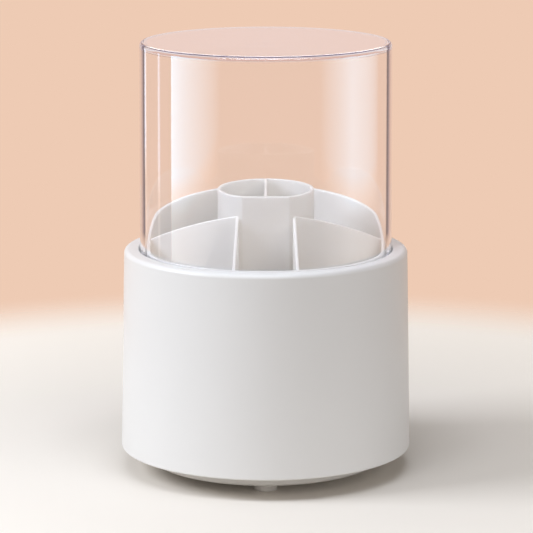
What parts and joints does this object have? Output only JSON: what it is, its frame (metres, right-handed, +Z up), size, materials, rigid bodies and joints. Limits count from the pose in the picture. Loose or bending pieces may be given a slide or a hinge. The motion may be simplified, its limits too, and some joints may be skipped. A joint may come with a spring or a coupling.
{
  "type": "rotating makeup brush holder",
  "caption": "Round white cup that turns on a ball-race base, with a lift-out divider for standing makeup brushes and a clear lift-off cover.",
  "frame": {"origin": "on the table under the middle of the cup, on the turning axis", "axes": "+Z up along the turning axis, -Y towards the front, where the divider's tube is flat"},
  "size_m": [0.14, 0.14, 0.2072],
  "materials": {
    "cover_clear": "clear polished",
    "shell_white": "satin",
    "divider_white": "satin",
    "base_white": "satin",
    "plate_white": "satin",
    "cage_plastic": "natural",
    "ball_steel": "polished",
    "screw_steel": "zinc plated",
    "foot_rubber": "matt"
  },
  "bodies": {
    "base": {"turntable_base": "base_white", "foot_front": "foot_rubber", "foot_right": "foot_rubber", "foot_back": "foot_rubber", "foot_left": "foot_rubber"},
    "cage": {"ball_cage": "cage_plastic", "steel_ball_01": "ball_steel", "steel_ball_02": "ball_steel", "steel_ball_03": "ball_steel", "steel_ball_04": "ball_steel", "steel_ball_05": "ball_steel", "steel_ball_06": "ball_steel", "steel_ball_07": "ball_steel", "steel_ball_08": "ball_steel", "steel_ball_09": "ball_steel", "steel_ball_10": "ball_steel", "steel_ball_11": "ball_steel", "steel_ball_12": "ball_steel"},
    "cup": {"outer_shell": "shell_white", "floor_plate": "plate_white", "floor_screw_1": "screw_steel", "floor_screw_2": "screw_steel", "floor_screw_3": "screw_steel", "floor_screw_4": "screw_steel", "pivot_screw": "screw_steel", "pivot_washer": "screw_steel"},
    "divider": {"divider_insert": "divider_white"},
    "cover": {"dust_cover": "cover_clear"}
  },
  "joints": [
    {"name": "cup_spin", "type": "hinge", "parent": "base", "child": "cup", "pos_m": [0, 0, 0.012], "axis": [0, 0, 1], "continuous": true},
    {"name": "cage_orbit", "type": "hinge", "parent": "base", "child": "cage", "pos_m": [0, 0, 0.012], "axis": [0, 0, 1], "continuous": true},
    {"name": "divider_lift", "type": "slide", "parent": "cup", "child": "divider", "axis": [0, 0, 1], "range_m": [0, 0.06]},
    {"name": "cover_lift", "type": "slide", "parent": "cup", "child": "cover", "axis": [0, 0, 1], "range_m": [0, 0.11]}
  ],
  "couplings": [
    {"joint": "cage_orbit", "follows": "cup_spin", "ratio": 0.5}
  ]
}
